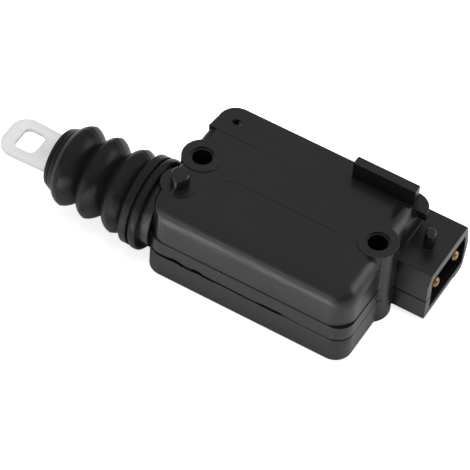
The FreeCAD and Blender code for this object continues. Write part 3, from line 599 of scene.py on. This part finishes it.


# Boot: a cuff on the case, the bellows, and the end ring on the rod


def cuff_profile():
    """Two rings: the outer one flat with fine edges, the one at the case rounder."""
    edge = 0.35 * MM
    soft = 1.0 * MM
    middle = (cuff_start + cuff_end) / 2
    groove = 0.35 * MM
    case_side_r = cuff_r - 1.6 * MM
    groove_r = cuff_r - 1.7 * MM
    flat_r = cuff_r - 0.3 * MM
    dip_x = middle - groove - 1.0 * MM
    dip_r = cuff_r - 0.42 * MM
    end_r = cuff_r - 0.35 * MM
    foot_r = cuff_r - 2.2 * MM
    points = [(cuff_start, cuff_bore), (cuff_start, case_side_r)]
    points += arc(cuff_start - soft, cuff_r - soft, soft, 10, 90, 6)
    points += arc(middle + groove + soft, cuff_r - soft, soft, 90, 172, 6)
    points += [(middle + groove, groove_r), (middle - groove, groove_r)]
    points += arc(middle - groove - edge, flat_r - edge, edge, 10, 90, 4)
    points.append((dip_x, dip_r))
    points += arc(cuff_end + edge, end_r - edge, edge, 90, 175, 4)
    points += [(cuff_end, foot_r), (cuff_end, cuff_bore)]
    return points


def flank(start, end, power, steps=16):
    """Points down one side of a crest, from its top (x, r) to its foot."""
    points = []
    for i in range(steps + 1):
        share = i / steps
        x = start[0] + (end[0] - start[0]) * share
        r = start[1] - (start[1] - end[1]) * share ** power
        points.append((x, r))
    return points


def bellows_profile():
    """Three crests, each slack towards the cuff and steep towards the end ring."""
    cuff_foot_r = valley_r + 1.2 * MM
    right_feet = [(cuff_end, cuff_foot_r)] + [(x, valley_r) for x in valley_x]
    left_feet = [(x, valley_r) for x in valley_x] + [(ring_start, shoulder_r)]
    outer = []
    crests = len(crest_x)
    for i in range(crests):
        top = (crest_x[i], crest_r[i])
        outer += flank(top, right_feet[i], slack_power)[::-1]
        outer[-1] = (top[0], top[1] + flash_height)
        left = flank(top, left_feet[i], steep_power)[1:]
        outer += left[:-1] if i < crests - 1 else left
    inner = [(x, r - boot_wall) for x, r in reversed(outer)]
    return outer + inner


def end_ring_profile():
    """Ring with a fine groove, soft at its outer end and open for the rod."""
    soft = 0.7 * MM
    line = boot_end + 1.9 * MM
    half = 0.25 * MM
    points = [(ring_start, shoulder_r), (line + half, end_ring_r + 0.75 * MM)]
    points += [(line, end_ring_r + 0.25 * MM), (line - half, end_ring_r + 0.5 * MM)]
    points += arc(boot_end + soft, end_ring_r - soft, soft, 95, 180, 8)
    points += [(boot_end, rod_bore), (ring_start, rod_bore)]
    return points


cuff = lathe(cuff_profile(), "boot_cuff")
bellows = lathe(bellows_profile(), "boot_bellows", (mould_line, mould_line + 180), mould_line_depth)
end_ring = lathe(end_ring_profile(), "boot_end_ring")
for piece, body in ((cuff, "housing"), (bellows, "housing"), (end_ring, "rod")):
    stand_for(piece, "boot", body, "boot_rubber")
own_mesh(bellows)

# Rod
rod = whole_faces("output_rod", "rod_and_tongue")
round_edges(rod, small_round, 3)
smooth(rod, 30)
stand_for(rod, "output_rod", "rod", "rod_white")

# Terminal pins
for node in ("terminal_pin_near", "terminal_pin_far"):
    pin = whole_faces(node, node.replace("terminal", "brass"))
    round_edges(pin, small_round, 3, 25)
    smooth(pin, 40)
    stand_for(pin, node, "housing", "brass")


# Floor, lights and camera


def floor_material():
    """White paper that reads nearly white to the camera and still takes a faint shadow."""
    material, tree, shader = node_material("floor_paper")
    shader.inputs["Base Color"].default_value = floor_white
    shader.inputs["Roughness"].default_value = 0.9
    shader.inputs["Specular IOR Level"].default_value = 0.1
    path = tree.nodes.new("ShaderNodeLightPath")
    glow = tree.nodes.new("ShaderNodeMath")
    glow.operation = "MULTIPLY"
    glow.inputs[1].default_value = floor_glow
    tree.links.new(path.outputs["Is Camera Ray"], glow.inputs[0])
    shader.inputs["Emission Color"].default_value = (1, 1, 1, 1)
    tree.links.new(glow.outputs["Value"], shader.inputs["Emission Strength"])
    return material


def make_floor():
    bm = bmesh.new()
    bmesh.ops.create_grid(bm, x_segments=8, y_segments=8, size=floor_half)
    floor = from_bmesh(bm, "floor")
    floor.data.materials.append(floor_material())


def area_light(name, direction, distance, width, height, watts, target=(0.0, 0.0, 0.015), beam=180.0,
               mirrored=True):
    """Soft box at a distance from its target. beam is in degrees, mirrored is whether gloss shows the box."""
    data = bpy.data.lights.new(name, "AREA")
    data.shape = "RECTANGLE"
    data.size = width
    data.size_y = height
    data.energy = watts
    data.spread = math.radians(beam)
    lamp = bpy.data.objects.new(name, data)
    lamp.visible_glossy = mirrored
    scene.collection.objects.link(lamp)
    towards = Vector(direction).normalized()
    lamp.location = Vector(target) + towards * distance
    lamp.rotation_mode = "QUATERNION"
    lamp.rotation_quaternion = towards.to_track_quat("Z", "Y")


def make_world():
    """Dim near the horizon and bright above for reflections, white where the camera looks past the part."""
    world = bpy.data.worlds.new("studio")
    scene.world = world
    world.use_nodes = True
    tree = world.node_tree
    background = tree.nodes["Background"]
    place = tree.nodes.new("ShaderNodeTexCoord")
    parts = tree.nodes.new("ShaderNodeSeparateXYZ")
    tree.links.new(place.outputs["Generated"], parts.inputs["Vector"])
    height = spread(tree, parts.outputs["Z"], horizon_height, overhead_height, world_low, world_high)
    path = tree.nodes.new("ShaderNodeLightPath")
    pick = tree.nodes.new("ShaderNodeMix")
    pick.data_type = "FLOAT"
    tree.links.new(path.outputs["Is Camera Ray"], pick.inputs[0])
    tree.links.new(height, pick.inputs[2])
    pick.inputs[3].default_value = 1.0
    tree.links.new(pick.outputs[0], background.inputs["Strength"])
    background.inputs["Color"].default_value = (1, 1, 1, 1)


def make_camera():
    data = bpy.data.cameras.new("camera")
    data.lens = camera_lens
    data.sensor_width = sensor_width
    data.clip_start = 0.05
    data.clip_end = 20.0
    camera = bpy.data.objects.new("camera", data)
    scene.collection.objects.link(camera)
    right = camera_right.normalized()
    up = (-camera_down).normalized()
    back = right.cross(up)
    turn = Matrix((right, up, back)).transposed()
    camera.matrix_world = Matrix.Translation(camera_place) @ turn.to_4x4()
    scene.camera = camera


make_floor()
make_world()
area_light("front_box", (-0.30, -0.95, 0.14), 1.0, 1.3, 0.28, 1.8)
area_light("right_back_box", (0.77, 0.56, 0.29), 1.0, 0.7, 0.5, 2.2)
area_light("overhead_box", (0.0, 0.0, 1.0), 1.2, 0.5, 0.5, 7.0, mirrored=False)
area_light("floor_box", (0.0, 0.0, 1.0), 0.6, 0.13, 0.06, 0.155, (-0.022, -0.115, 0.0), 10.0, False)
make_camera()
